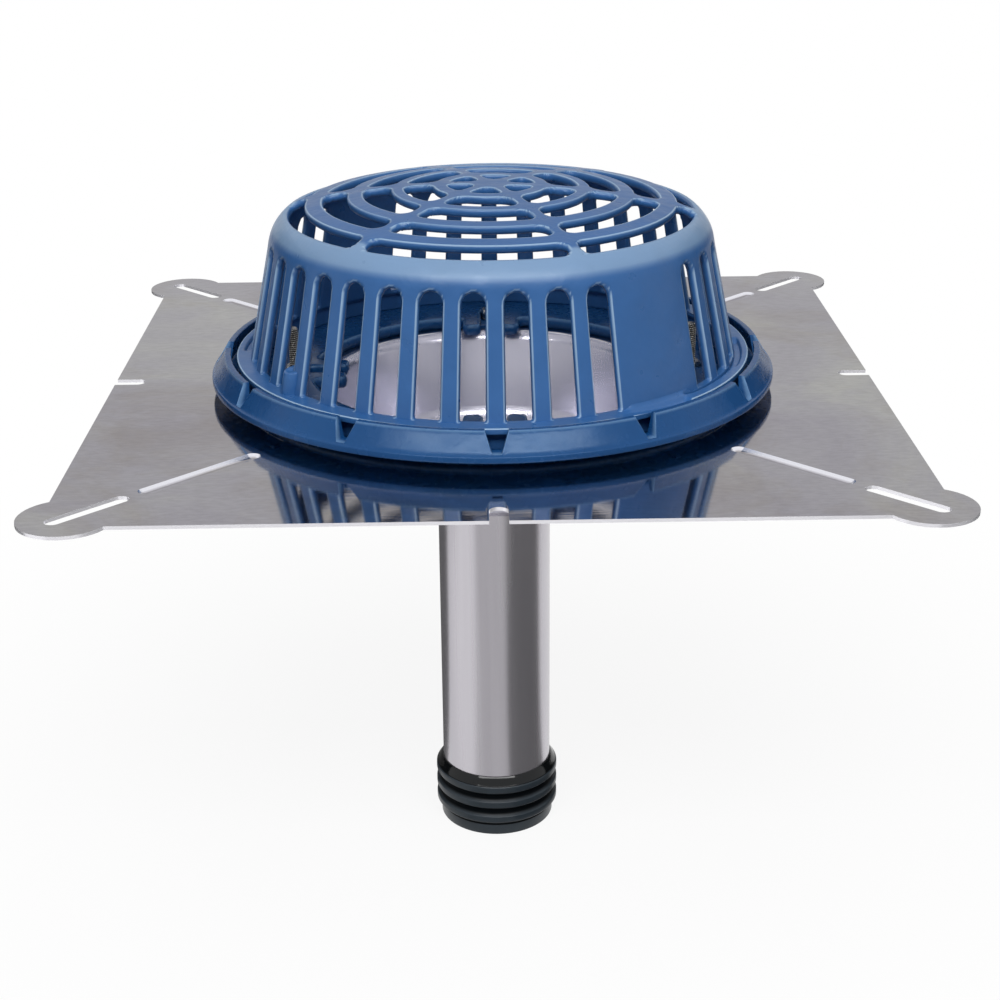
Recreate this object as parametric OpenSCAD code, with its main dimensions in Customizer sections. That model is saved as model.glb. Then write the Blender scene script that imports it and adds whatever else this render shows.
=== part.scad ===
// Flat roof drain: a square stainless deck flange with a drawn sump, a long outlet tube that
// ends in a finned rubber seal, and above the deck a cast clamp ring with a gravel stop and a
// cast dome strainer that twists to lock under hooks inside the ring.
// Origin: on the drain's axis, in the plane of the flange's underside. +Z up. Millimetres.

/* [Deck flange] */
// Side of the square flange
flange_w = 457.2; // [430:0.1:520]
// Thickness of the stainless sheet
sheet_t = 1.9; // [1.2:0.1:3]
// Radius of the round lug on each corner
lug_r = 24.6; // [20:0.1:32]
// Distance of each lug's centre from the two sides that meet there
lug_inset = 12.1; // [6:0.1:20]
// Width of the fixing slot on each diagonal
slot_w = 9; // [5:0.1:12]
// Length of the fixing slot, end to end
slot_len = 49.5; // [30:0.5:60]
// Metal left between the slot's outer end and the lug's outer edge
slot_margin = 13; // [8:0.1:20]
// Width of the pressed groove inside each slot
groove_w = 9; // [6:0.1:14]
// Depth of the pressed groove
groove_d = 1.9; // [1:0.1:3]
// Length of the pressed groove, end to end
groove_len = 78.8; // [40:0.1:90]
// Plain metal between slot and groove
groove_gap = 7.2; // [4:0.1:16]
// Width of the alignment notch in the middle of each side
notch_w = 10; // [6:0.1:16]
// Depth of the alignment notch
notch_d = 18; // [10:0.1:26]

/* [Sump] */
// Radius at which the flat sheet starts to turn down into the sump
sump_r = 106; // [100:0.1:108]
// Bend radius of the sump's upper edge, on the wet side
sump_edge_r = 8; // [5:0.1:12]
// Lean of the sump's wall from upright, in degrees
sump_lean = 17; // [10:0.5:22]
// Depth of the sump's wall line from the flange to the floor
sump_depth = 60; // [46:0.5:64]
// Fillet between the sump's wall and floor, on the wet side
sump_fillet_r = 18; // [12:0.5:24]
// Fall of the sump's floor towards the outlet, in degrees
sump_fall = 6; // [2:0.5:12]

/* [Outlet tube] */
// Outer radius of the outlet tube
tube_r = 34.925; // [30:0.025:40]
// Wall of the outlet tube
tube_wall = 1.65; // [1.2:0.05:3]
// Reach of the tube's lower end below the flange's underside
tube_reach = 295; // [240:0.5:360]
// Height of the rolled bead that holds the seal on the tube
bead_h = 1.2; // [0.8:0.1:2]
// Leg of the weld fillet between tube and sump
weld_leg = 3; // [2:0.1:5]

/* [Pipe seal] */
// Outer radius of the seal's fins
fin_r = 39.5; // [38:0.1:43]
// Rubber between the tube and the root of a fin
seal_wall = 2.2; // [1.8:0.1:3]
// Length of the seal
seal_len = 42; // [38:0.5:50]
// Number of fins
fin_count = 3; // [2:1:4]
// Height of a fin's land
fin_land = 4.8; // [3:0.1:6]
// Distance from one fin to the next
fin_pitch = 10.7; // [9:0.1:12]
// Rubber under the tube's end
seal_lip = 3.5; // [2:0.1:6]

/* [Clamp studs] */
// Radius of the circle that the four studs stand on
stud_circle_r = 120; // [117:0.1:124]
// Radius of a stud
stud_r = 3.175; // [2.5:0.005:4]
// Height of a stud above the flange's face
stud_h = 33; // [24:0.5:42]
// Height of the weld collar round a stud's foot
stud_weld_h = 1; // [0.6:0.1:1.6]
// Nut size across its flats
nut_flats = 11.1; // [9:0.1:12]
// Nut height
nut_h = 5.56; // [4:0.01:7]
// Thickness of a washer
washer_t = 1.5; // [0.8:0.1:2]

/* [Clamp ring] */
// Inner radius of the ring's clamping flange
ring_inner_r = 108.5; // [106:0.1:112]
// Thickness of the clamping flange
ring_t = 7.2; // [6:0.1:9]
// Reach of the ring's lip beyond the gravel stop's top edge
lip_reach = 8; // [6:0.1:12]
// Height of the lip's underside above the sheet
lip_gap = 6.9; // [5:0.1:9]
// Thickness of the lip at its edge
lip_t = 4.2; // [3:0.1:6]
// Height of the gravel stop above the sheet
stop_h = 22.9; // [21:0.1:28]
// Clearance between the dome's flange and the gravel stop's top edge
stop_clear = 3.6; // [2.4:0.1:5]
// Width of the gravel stop's top edge
stop_top_w = 3.6; // [2.5:0.1:5]
// Width of the gravel stop's foot
stop_foot_w = 9; // [7:0.1:10]
// Number of drain notches in the gravel stop
drain_notches = 12; // [8:1:18]
// Width of a drain notch at its foot
drain_notch_foot = 4.9; // [3:0.1:8]
// Width of a drain notch at its top
drain_notch_top = 12.8; // [9:0.1:16]
// Radius at the tips of the two prongs of each stud lug
prong_tip_r = 87.5; // [82:0.1:94]
// Width of a prong
prong_w = 12.2; // [9:0.1:14]
// Width of the nut pocket between two prongs
pocket_w = 12.6; // [12.2:0.1:14]
// Metal under the nut pocket
pocket_floor = 2.2; // [1.6:0.1:3]

/* [Dome strainer] */
// Width of the dome's flange outside the wall's foot
dome_flange_w = 8.2; // [7.4:0.1:9.4]
// Thickness of the dome's flange
dome_flange_t = 3.5; // [2.5:0.1:4]
// Height of the flange's upper face above the sheet
dome_flange_z = 21.2; // [20.9:0.1:24]
// Outer radius of the wall where it meets the flange
dome_foot_r = 145; // [142:0.1:146]
// Lean of the wall from upright, in degrees
dome_lean = 11.8; // [6:0.1:16]
// Height of the crown's middle above the sheet
dome_h = 119.5; // [105:0.5:135]
// Radius of curvature of the crown
crown_r = 560; // [400:5:800]
// Radius of the shoulder between wall and crown
shoulder_r = 25; // [18:0.5:30]
// Thickness of the casting
dome_wall = 4.8; // [4:0.1:6]
// Number of window places round the wall
windows = 36; // [24:1:40]
// Share of each place that is open
window_share = 0.56; // [0.45:0.01:0.62]
// Height of the windows' round tops above the sheet
window_top = 89; // [75:0.5:92]
// Window places left closed on each of two opposite sides
closed_windows = 2; // [1:1:3]
// Bearing of the first closed panel's middle, from the front towards the right
closed_at = 40; // [0:10:350]
// Bearing of the first spoke, from the front towards the right
spoke_at = 22; // [0:1:59]
// Number of spokes
spokes = 6; // [4:1:7]
// Width of a spoke
spoke_w = 8; // [6:0.5:8.5]
// Radius of the solid hub
hub_r = 11.5; // [11:0.5:14]
// Width of the closed rim outside the open crown, measured to the wall's foot
crown_rim_w = 25; // [24:0.5:29]
// Radius of the rounded corners of the crown's gaps
gap_corner_r = 4; // [2:0.5:5]

/* [Twist lock] */
// Number of hooks inside the ring, and of tabs on the dome
hooks = 4; // [2:1:6]
// Bearing of the first hook's middle
hook_at = 45; // [40:1:50]
// Angle that a hook covers
hook_angle = 11; // [8:0.5:13]
// Thickness of a hook
hook_t = 3.4; // [2.5:0.1:3.6]
// Running clearance between dome and ring
lock_gap = 0.4; // [0.3:0.05:0.5]

/* [Hidden] */
$fn = 96;
steel = [0.70, 0.70, 0.71];
satin = [0.66, 0.65, 0.67];
ring_blue = [0.06, 0.19, 0.42];
dome_blue = [0.20, 0.36, 0.60];
rubber_black = [0.08, 0.10, 0.11];
eps = 0.01;
far = 1000;
fit_gap = 0.05;          // radial clearance where one round piece sits in another
top_z = sheet_t;         // the sheet's wet face, from which heights are measured
stud_count = 4;

// Corners
lug_at = flange_w / 2 - lug_inset;
slot_out = lug_at * sqrt(2) + lug_r - slot_margin;
slot_mid = slot_out - slot_len / 2;
groove_out = slot_out - slot_len - groove_gap;
groove_mid = groove_out - groove_len / 2;
groove_ball = (pow(groove_w / 2, 2) + pow(groove_d, 2)) / (2 * groove_d);

// Sump section: centres of its two bends, in radius and height
edge_c = [sump_r, top_z - sump_edge_r];
wall_start = edge_c + sump_edge_r * [-cos(sump_lean), sin(sump_lean)];
floor_z = top_z - sump_depth;
fillet_cz = floor_z + sump_fillet_r;
wall_down = (wall_start[1] - (fillet_cz - sump_fillet_r * sin(sump_lean))) / cos(sump_lean);
fillet_c = [wall_start[0] - wall_down * sin(sump_lean) - sump_fillet_r * cos(sump_lean), fillet_cz];
floor_start = fillet_c + sump_fillet_r * [sin(sump_fall), -cos(sump_fall)];
tube_top_z = floor_start[1] - (floor_start[0] - tube_r) * tan(sump_fall);

// Tube, bead and seal
bead_half = 4;
bead_z = -tube_reach + 16;
seal_bottom = -tube_reach - seal_lip;
seal_top = seal_bottom + seal_len;
seal_root_r = tube_r + seal_wall;

// Radii of the dome's flange, the gravel stop and the ring's lip, each clear of the one inside
dome_flange_r = dome_foot_r + dome_flange_w;
stop_r = dome_flange_r + stop_clear + stop_top_w;
ring_r = stop_r + lip_reach;
crown_open_r = dome_foot_r - crown_rim_w;

// Clamp ring section
lip_top = top_z + lip_gap + lip_t;
stop_foot_out = ring_r - 0.8;
stop_foot_in = stop_foot_out - stop_foot_w;
pilot_r = stop_foot_in - 4.6;      // outer radius of the ring's flat inner floor
floor_top = top_z + ring_t;
seat_r = pilot_r - 1.3;            // outer radius of the face that bears on the sheet
prong_at = (pocket_w + prong_w) / 2;
pocket_end_r = stud_circle_r + pocket_w / 2 + 1;

// Fasteners
washer_z = top_z + pocket_floor;
nut_z = washer_z + washer_t;
washer_r = pocket_w / 2 - 0.2;
stud_hole_r = stud_r + 0.4;
weld_collar_r = stud_r + 1;

// Dome section: the shoulder's arc touches the leaning wall and the domed crown
foot = [dome_foot_r, top_z + dome_flange_z];
crown_top = top_z + dome_h;
crown_cz = crown_top - crown_r;
reach = crown_r - shoulder_r;
lean_t = tan(dome_lean);
arc_a = dome_foot_r + foot[1] * lean_t - shoulder_r / cos(dome_lean);
arc_b = 1 + lean_t * lean_t;
arc_h = arc_a * lean_t + crown_cz;
arc_k = arc_a * arc_a + crown_cz * crown_cz - reach * reach;
arc_cz = (arc_h + sqrt(arc_h * arc_h - arc_b * arc_k)) / arc_b;
arc_cr = arc_a - lean_t * arc_cz;
crown_edge = atan2(arc_cz - crown_cz, arc_cr);
shoulder_c = [arc_cr, arc_cz];
skirt_r = dome_foot_r + 2.4;
skirt_bottom = floor_top;
skirt_wall = 4;
flange_under = foot[1] - dome_flange_t;
window_pitch = 360 / windows;

// Crown: radii of the bars' edges, spread between the hub and the shoulder
bar_edges = [for (k = [25, 34, 50.5, 58.5, 74.5, 84.5, 98.5, 109.5]) k * crown_open_r / 120];

// Lock
hook_top = flange_under - lock_gap;
hook_bottom = hook_top - hook_t;
tab_top = hook_bottom - lock_gap;
tab_bottom = floor_top + lock_gap;
tab_r = pilot_r - lock_gap;
hook_r = skirt_r + lock_gap + 1.5;
stop_rib = 1.6;                    // angle of the rib that stops the dome's turn

// Point at radius r and angle a round c
function polar(c, r, a) = c + r * [cos(a), sin(a)];
// Points of an arc round c, from angle a0 to a1, without the first one
function arc(c, r, a0, a1, n) = [for (i = [1:n]) polar(c, r, a0 + (a1 - a0) * i / n)];
// Angle of the point where a line from p touches the circle round c, on one side or the other
function tangent_angle(c, r, p, side) =
    atan2(p[1] - c[1], p[0] - c[0]) + (side * acos(r / norm(p - c)) + (side < 0 ? 360 : 0));

// A bent strip round c, between two radii and two angles less than 180 degrees apart
module bend(c, r0, r1, a0, a1) {
    over = 2 * r1 / cos((a1 - a0) / 2);
    intersection() {
        translate(c) difference() {
            circle(r1);
            circle(r0);
        }
        polygon([c, polar(c, over, a0), polar(c, over, (a0 + a1) / 2), polar(c, over, a1)]);
    }
}

// Places children at a bearing from the front (-Y) towards the right (+X)
module at_bearing(b, r = 0) { rotate(b - 90) translate([r, 0, 0]) children(); }

module around(n, first = 0) { for (i = [0:n - 1]) at_bearing(first + i * 360 / n) children(); }

// A flat bar with round ends, along X, centred
module stadium(length, width) {
    square([length - width, width], center = true);
    for (s = [-1, 1]) translate([s * (length - width) / 2, 0]) circle(d = width);
}

// Sheet -----------------------------------------------------------------------------------

module flange_outline() {
    difference() {
        union() {
            square(flange_w, center = true);
            for (x = [-1, 1], y = [-1, 1]) translate([x * lug_at, y * lug_at]) circle(lug_r);
        }
        circle(sump_r + 1);
        for (a = [45:90:315]) rotate(a) translate([slot_mid, 0]) stadium(slot_len, slot_w);
        for (a = [0:90:270]) rotate(a) translate([flange_w / 2, 0])
            stadium(2 * notch_d, notch_w);
    }
}

// A ball-ended bar whose lowest line lies depth below the sheet's face
module groove_bar(grow) {
    half = (groove_len - groove_w) / 2;
    translate([groove_mid, 0, top_z - groove_d + groove_ball]) {
        rotate([0, 90, 0]) cylinder(r = groove_ball + grow, h = 2 * half, center = true);
        for (s = [-1, 1]) translate([s * half, 0, 0]) sphere(groove_ball + grow);
    }
}

// Section of the drawn sump: two bends and the straight lengths between them
module sump_section() {
    over = sump_r + 3;
    lean = [-cos(sump_lean), sin(sump_lean)];
    fall = [sin(sump_fall), -cos(sump_fall)];
    dry_edge = edge_c + (sump_edge_r - sheet_t) * lean;
    dry_wall = fillet_c - (sump_fillet_r + sheet_t) * lean;
    hole_r = tube_r + fit_gap;
    translate([sump_r - eps, 0]) square([3, sheet_t]);
    bend(edge_c, sump_edge_r - sheet_t, sump_edge_r, 90, 180 - sump_lean);
    polygon([wall_start, dry_edge, dry_wall, fillet_c - sump_fillet_r * lean]);
    bend(fillet_c, sump_fillet_r, sump_fillet_r + sheet_t, sump_fall - 90, -sump_lean);
    polygon([floor_start, fillet_c + (sump_fillet_r + sheet_t) * fall,
             [hole_r, tube_top_z - sheet_t / cos(sump_fall)], [hole_r, tube_top_z]]);
}

module deck_flange() {
    color(steel) difference() {
        union() {
            linear_extrude(sheet_t) flange_outline();
            rotate_extrude() sump_section();
            for (a = [45:90:315]) rotate(a) intersection() {
                groove_bar(sheet_t);
                translate([0, -groove_w * 2, -far]) cube([far, groove_w * 4, far + sheet_t / 2]);
            }
        }
        for (a = [45:90:315]) rotate(a) groove_bar(0);
    }
}

// Outlet ----------------------------------------------------------------------------------

// Half section of the rolled bead, grown outwards from radius r
module bead_section(r) {
    polygon([[r, bead_z - bead_half], [r + bead_h, bead_z - bead_half / 3],
             [r + bead_h, bead_z + bead_half / 3], [r, bead_z + bead_half]]);
}

module tube_section() {
    inner = tube_r - tube_wall;
    difference() {
        union() {
            translate([inner, -tube_reach]) square([tube_wall, tube_reach + tube_top_z]);
            bead_section(tube_r - eps);
        }
        bead_section(inner - eps);
    }
}

module outlet_tube() { color(satin) rotate_extrude() tube_section(); }

// Fillet between the tube's outside and the sump's dry face
module outlet_weld() {
    root = tube_top_z - sheet_t / cos(sump_fall) - fit_gap * tan(sump_fall) - 0.02;
    leg = weld_leg;
    color(satin) rotate_extrude() polygon([
        [tube_r, root - leg], [tube_r, root], [tube_r + leg, root + leg * tan(sump_fall)],
        [tube_r + leg * 0.62, root - leg * 0.25], [tube_r + leg * 0.3, root - leg * 0.58]]);
}

// The outside steps from the conical neck over the fins to the plain collar
module seal_section() {
    neck_r = tube_r + 1.5;
    first = seal_top - 5.5;
    back = 1.6;                     // height of the slope behind a fin
    fins = [for (i = [0:fin_count - 1]) let (z = first - i * fin_pitch)
        each [[fin_r, z], [fin_r, z - fin_land],
              [seal_root_r, z - fin_land - back], [seal_root_r, z - fin_pitch + back]]];
    body = [for (i = [0:len(fins) - 2]) fins[i]];
    collar_r = tube_r + 1.4;
    polygon(concat([[tube_r + fit_gap / 2, seal_top], [tube_r + 0.6, seal_top],
         [neck_r, seal_top - 0.9]], body,
        [[collar_r, body[len(body) - 1][1] - back], [collar_r, seal_bottom + 0.8],
         [collar_r - 0.8, seal_bottom], [tube_r - tube_wall + 0.3, seal_bottom],
         [tube_r - tube_wall + 0.3, -tube_reach], [tube_r + fit_gap / 2, -tube_reach],
         [tube_r + fit_gap / 2, bead_z - bead_half],
         [tube_r + bead_h + fit_gap / 2, bead_z - bead_half / 3],
         [tube_r + bead_h + fit_gap / 2, bead_z + bead_half / 3],
         [tube_r + fit_gap / 2, bead_z + bead_half]]));
}

module pipe_seal() { color(rubber_black) rotate_extrude() seal_section(); }

// Studs, washers and nuts -----------------------------------------------------------------

module clamp_studs() {
    tip = 0.8;
    color(steel) around(stud_count) translate([stud_circle_r, 0, top_z]) {
        cylinder(r = stud_r, h = stud_h - tip);
        translate([0, 0, stud_h - tip]) cylinder(r1 = stud_r, r2 = stud_r - tip, h = tip);
    }
}

module stud_welds() {
    color(satin) around(stud_count) translate([stud_circle_r, 0, top_z]) rotate_extrude()
        polygon([[stud_r, 0], [weld_collar_r, 0], [stud_r + 0.3, stud_weld_h],
                 [stud_r, stud_weld_h]]);
}

module washers() {
    color(steel) around(stud_count) translate([stud_circle_r, 0, washer_z]) difference() {
        cylinder(r = washer_r, h = washer_t);
        translate([0, 0, -1]) cylinder(r = stud_r + 0.15, h = washer_t + 2);
    }
}

module clamp_nuts() {
    chamfer = 0.7;
    color(steel) around(stud_count) translate([stud_circle_r, 0, nut_z]) difference() {
        intersection() {
            rotate(30) cylinder(d = nut_flats / cos(30), h = nut_h, $fn = 6);
            union() {
                cylinder(r = nut_flats / 2 / cos(30) + eps, h = nut_h - chamfer);
                translate([0, 0, nut_h - chamfer])
                    cylinder(r1 = nut_flats / 2 / cos(30), r2 = nut_flats / 2 - 0.1, h = chamfer);
            }
        }
        translate([0, 0, -1]) cylinder(r = stud_r + fit_gap, h = nut_h + 2);
    }
}

// Clamp ring ------------------------------------------------------------------------------

module ring_section() {
    round_r = stop_top_w / 2;
    top_c = [stop_r - round_r, top_z + stop_h - round_r];
    foot_out = [stop_foot_out, lip_top];
    foot_in = [stop_foot_in, lip_top + 0.4];
    polygon(concat(
        [[ring_inner_r, top_z], [seat_r, top_z], [stop_foot_in - 0.4, top_z + lip_gap],
         [ring_r, top_z + lip_gap], [ring_r, lip_top - 0.6], foot_out,
         polar(top_c, round_r, tangent_angle(top_c, round_r, foot_out, 1))],
        arc(top_c, round_r, tangent_angle(top_c, round_r, foot_out, 1),
            tangent_angle(top_c, round_r, foot_in, -1), 7),
        [foot_in, [pilot_r, floor_top], [ring_inner_r + 2, floor_top],
         [ring_inner_r, floor_top - 2]]));
}

// Outline of one prong: a flat tip between two round corners
module prong_outline() {
    corner = 4;
    half = prong_w / 2;
    root = ring_inner_r + 4;
    translate([prong_tip_r + corner, -half]) square([root - prong_tip_r - corner, prong_w]);
    translate([prong_tip_r, corner - half]) square([corner + 1, prong_w - 2 * corner]);
    for (s = [-1, 1]) translate([prong_tip_r + corner, s * (half - corner)]) circle(corner);
}

// One stud lug: two prongs and the floor between them
module stud_lug() {
    root = ring_inner_r + 4;
    translate([0, 0, top_z]) {
        for (s = [-1, 1]) translate([0, s * prong_at, 0]) linear_extrude(ring_t) prong_outline();
        translate([ring_inner_r - 5, -prong_at, 0]) cube([root - ring_inner_r + 5, 2 * prong_at,
                                                          pocket_floor]);
    }
}

// What is taken out at a stud: the nut pocket and the stud's hole
module stud_pocket() {
    translate([prong_tip_r - 2, -pocket_w / 2, washer_z])
        cube([stud_circle_r + 1 - prong_tip_r + 2, pocket_w, far]);
    translate([stud_circle_r + 1, 0, washer_z]) cylinder(d = pocket_w, h = far);
    translate([stud_circle_r, 0, -far / 2]) cylinder(r = stud_hole_r, h = far);
    translate([stud_circle_r, 0, -far / 2]) cylinder(r = weld_collar_r + 0.3,
                                                     h = far / 2 + top_z + stud_weld_h + 0.2);
}

// A tapered notch that lets water through the gravel stop
module drain_notch() {
    rise = top_z + stop_h - lip_top;
    over = 4;
    grow = (drain_notch_top - drain_notch_foot) / 2 * (rise + over) / rise;
    half = drain_notch_foot / 2;
    translate([stop_foot_in - 5, 0, lip_top + 0.2]) rotate([90, 0, 90]) linear_extrude(far)
        polygon([[-half, 0], [half, 0], [half + grow, rise + over], [-half - grow, rise + over]]);
}

// An arc-shaped block between two radii, centred on bearing 0
module arc_block(r0, r1, z0, z1, angle) {
    rotate(-angle / 2) rotate_extrude(angle = angle)
        translate([r0, z0]) square([r1 - r0, z1 - z0]);
}

// A hook under which one of the dome's tabs turns, with the rib that stops it
module lock_hook() {
    root = stop_foot_in + 2;
    rotate(-stop_rib / 2)
        arc_block(hook_r, root, hook_bottom, hook_top, hook_angle + stop_rib);
    rotate(-(hook_angle + stop_rib - 0.1) / 2)
        arc_block(hook_r + 0.3, root, floor_top - 1, hook_bottom + 1, stop_rib - 0.1);
}

module clamp_ring() {
    color(ring_blue) difference() {
        union() {
            rotate_extrude() ring_section();
            around(stud_count) stud_lug();
            around(hooks, hook_at) lock_hook();
        }
        around(stud_count) stud_pocket();
        around(drain_notches) drain_notch();
    }
}

// Dome strainer ---------------------------------------------------------------------------

// The space inside wall, shoulder and crown, when all of them are moved inwards by t
module dome_fill(t) {
    rows = [for (i = [len(bar_edges) - 2:-1:0]) (bar_edges[i] + bar_edges[i + 1]) / 2];
    polygon(concat([[0, foot[1]], [dome_foot_r - t / cos(dome_lean), foot[1]],
                    polar(shoulder_c, shoulder_r - t, dome_lean)],
                   arc(shoulder_c, shoulder_r - t, dome_lean, crown_edge, 7),
                   [for (r = concat(rows, [0])) [r, crown_cz + sqrt(pow(crown_r - t, 2) - r * r)]]));
}

module dome_section() {
    difference() {
        dome_fill(0);
        dome_fill(dome_wall);
        translate([-1, foot[1] - 1]) square([dome_foot_r - dome_wall / cos(dome_lean) - 1, 2]);
    }
    polygon([[skirt_r - skirt_wall, skirt_bottom], [skirt_r, skirt_bottom],
             [skirt_r, flange_under], [dome_flange_r - 1, flange_under],
             [dome_flange_r, flange_under + 1], [dome_flange_r, foot[1] - 1],
             [dome_flange_r - 1, foot[1]], [dome_foot_r, foot[1]],
             [dome_foot_r - dome_wall / cos(dome_lean), foot[1]],
             [skirt_r - skirt_wall, flange_under]]);
}

// One window: a tapered opening with a round top, cut straight through the wall
module window_cut() {
    half_angle = window_pitch * window_share / 2;
    wall_r = dome_foot_r - (window_top - dome_flange_z) * lean_t;
    top_half = wall_r * tan(half_angle);
    foot_half = dome_foot_r * tan(half_angle);
    round_z = top_z + window_top - top_half;
    translate([wall_r - 14, 0, 0]) rotate([90, 0, 90]) linear_extrude(40) {
        translate([0, round_z]) circle(top_half);
        polygon([[-foot_half, foot[1] + 0.5], [foot_half, foot[1] + 0.5], [top_half, round_z],
                 [-top_half, round_z]]);
    }
}

// A place is closed if it belongs to one of the two opposite panels
function place_at(i) = (i + 0.5) * window_pitch;
function turn_from(a, b) = abs(((a - b) % 360 + 540) % 360 - 180);
function closed(i) = min(turn_from(place_at(i), closed_at), turn_from(place_at(i), closed_at + 180))
    < closed_windows * window_pitch / 2;

// One rounded end of a gap: two round corners and the straight edge along a spoke, which runs
// past the corners' tangent points by lap
module gap_end(r0, r1, c, lap) {
    out = spoke_w / 2 + c;
    inner = sqrt(pow(r0 + c, 2) - out * out);
    outer = sqrt(pow(r1 - c, 2) - out * out);
    translate([inner - lap, spoke_w / 2]) square([outer - inner + 2 * lap, c]);
    for (x = [inner, outer]) translate([x, out]) circle(c);
}

// A sector between two radii, reaching half_angle to either side of bearing 0
module sector(r0, r1, half_angle) {
    intersection() {
        difference() {
            circle(r1);
            circle(r0);
        }
        polygon([[0, 0], polar([0, 0], 2 * r1, -half_angle), polar([0, 0], 2 * r1, half_angle)]);
    }
}

// A gap of the crown between two bars and two spokes, with rounded corners
module crown_gap(r0, r1) {
    half = 180 / spokes;
    s = sin(half - 1);
    c = min(gap_corner_r, (r1 - r0) / 2 - 0.5, (s * r0 - spoke_w / 2) / (1 - s));
    lap = c / 8;
    out = spoke_w / 2 + c - lap;
    sector(r0, r1, half - asin(out / (r0 + c)));
    sector(r0 + c, r1, half - asin(out / (r1 - c)));
    rotate(-half) gap_end(r0, r1, c, lap);
    rotate(half) mirror([0, 1]) gap_end(r0, r1, c, lap);
}

module crown_gaps() {
    edges = concat([hub_r], bar_edges, [crown_open_r]);
    for (k = [0:2:len(edges) - 2])
        around(spokes, spoke_at + 180 / spokes) translate([0, 0, top_z + window_top + 2])
            linear_extrude(2 * dome_wall + dome_h - window_top) crown_gap(edges[k], edges[k + 1]);
}

// The half-round boss at the foot of one wall bar
module wall_boss() {
    boss_r = 5.6;
    boss_h = 14.5;
    translate([dome_foot_r - 1.4, 0, foot[1] - eps]) intersection() {
        cylinder(r = boss_r, h = boss_h);
        rotate([0, -dome_lean, 0]) translate([-1.5, -boss_r, -2])
            cube([2 * boss_r, 2 * boss_r, boss_h + 1]);
    }
}

// Beside each closed panel the flange is thinned and slit to make a springy finger
module finger_cuts() {
    slit = 1.2;
    rim = dome_flange_r - 1.6;
    at_bearing(38.5) arc_block(dome_foot_r + 0.4, rim, foot[1] - 2.2, foot[1] + eps, 13);
    at_bearing(59) arc_block(dome_foot_r + 0.6, dome_foot_r + 0.6 + slit, flange_under - 1,
                             foot[1] + 1, 26);
    at_bearing(81.5) arc_block(dome_foot_r - 1.6, dome_foot_r + 3.6, flange_under + 0.4,
                               foot[1] + 3, 21);
}

module dome_tabs() {
    around(hooks, hook_at) arc_block(skirt_r - 1, tab_r, tab_bottom, tab_top, hook_angle - 0.4);
}

module dome_strainer() {
    color(dome_blue) difference() {
        union() {
            rotate_extrude() dome_section();
            dome_tabs();
            for (b = [0, 180]) at_bearing(closed_at - 90 + b) wall_boss();
        }
        for (i = [0:windows - 1]) if (!closed(i)) at_bearing(place_at(i)) window_cut();
        crown_gaps();
        for (b = [0, 180]) rotate(b) finger_cuts();
    }
}

deck_flange();
outlet_tube();
outlet_weld();
pipe_seal();
clamp_studs();
stud_welds();
clamp_ring();
washers();
clamp_nuts();
dome_strainer();
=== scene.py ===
"""Flat roof drain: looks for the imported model, in metres, in the model's own frame."""
import math

import bmesh
import bpy
import numpy as np
from mathutils import Matrix, Vector


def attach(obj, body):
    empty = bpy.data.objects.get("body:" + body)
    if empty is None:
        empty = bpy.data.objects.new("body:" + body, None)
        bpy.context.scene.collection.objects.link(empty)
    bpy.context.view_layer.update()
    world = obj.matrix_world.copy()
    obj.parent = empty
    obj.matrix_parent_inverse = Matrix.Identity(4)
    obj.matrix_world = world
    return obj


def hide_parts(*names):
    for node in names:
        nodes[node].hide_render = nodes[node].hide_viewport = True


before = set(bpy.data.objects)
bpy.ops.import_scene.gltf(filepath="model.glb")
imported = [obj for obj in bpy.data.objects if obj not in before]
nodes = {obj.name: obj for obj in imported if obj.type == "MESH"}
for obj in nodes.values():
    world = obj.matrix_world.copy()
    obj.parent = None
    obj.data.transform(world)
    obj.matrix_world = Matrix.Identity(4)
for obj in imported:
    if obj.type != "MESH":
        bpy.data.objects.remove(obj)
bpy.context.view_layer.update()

MM = 0.001
MERGE_DISTANCE = 1e-6
SHADER = "Principled BSDF"
SHEET = 1.9 * MM                       # the sheet's wet face, from which heights are measured

# Dome strainer
DOME_FOOT_R = 145.0 * MM
DOME_LEAN = math.radians(11.8)
DOME_FLANGE_R = 153.2 * MM
DOME_FLANGE_T = 3.5 * MM
DOME_FOOT_Z = SHEET + 21.2 * MM
DOME_TOP_Z = SHEET + 119.5 * MM
CROWN_R = 560.0 * MM
SHOULDER_R = 25.0 * MM
DOME_WALL = 4.8 * MM
WINDOWS = 36
WINDOW_HALF = math.radians(2.8)
WINDOW_TOP_Z = SHEET + 89.0 * MM
CLOSED_AT = math.radians(40.0)
SPOKES = 6
SPOKE_AT = math.radians(22.0)
SPOKE_W = 7.4 * MM
BAR_EDGES = [11.5, 25.0, 34.0, 50.5, 58.5, 74.5, 84.5, 98.5, 109.5, 120.0]
SKIRT_R = 147.4 * MM

# Clamp ring
RING_INNER_R = 108.5 * MM
RING_TOP_Z = SHEET + 7.2 * MM
RING_R = 168.4 * MM
LIP_UNDER_Z = SHEET + 6.9 * MM
LIP_TOP_Z = SHEET + 11.1 * MM
STOP_TOP_Z = SHEET + 22.9 * MM
STOP_R = 160.4 * MM
STOP_TOP_W = 3.6 * MM
STUD_CIRCLE_R = 120.0 * MM
HOOK_R = 160.0 * MM
PRONG_TIP_R = 87.5 * MM
PRONG_W = 12.2 * MM
POCKET_W = 12.6 * MM
NOTCHES = 12
NOTCH_FOOT = 2.45 * MM                  # half width of a drain notch at its foot
NOTCH_GROW = 3.95 * MM                  # and by how much that grows up to its top
POCKET_FLOOR = 2.2 * MM

# Fasteners, hooks and tabs: four of each
STUDS = 4
HOOKS = 4
HOOK_AT = -45                           # degrees from +X
TURN = math.pi / 2

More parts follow.
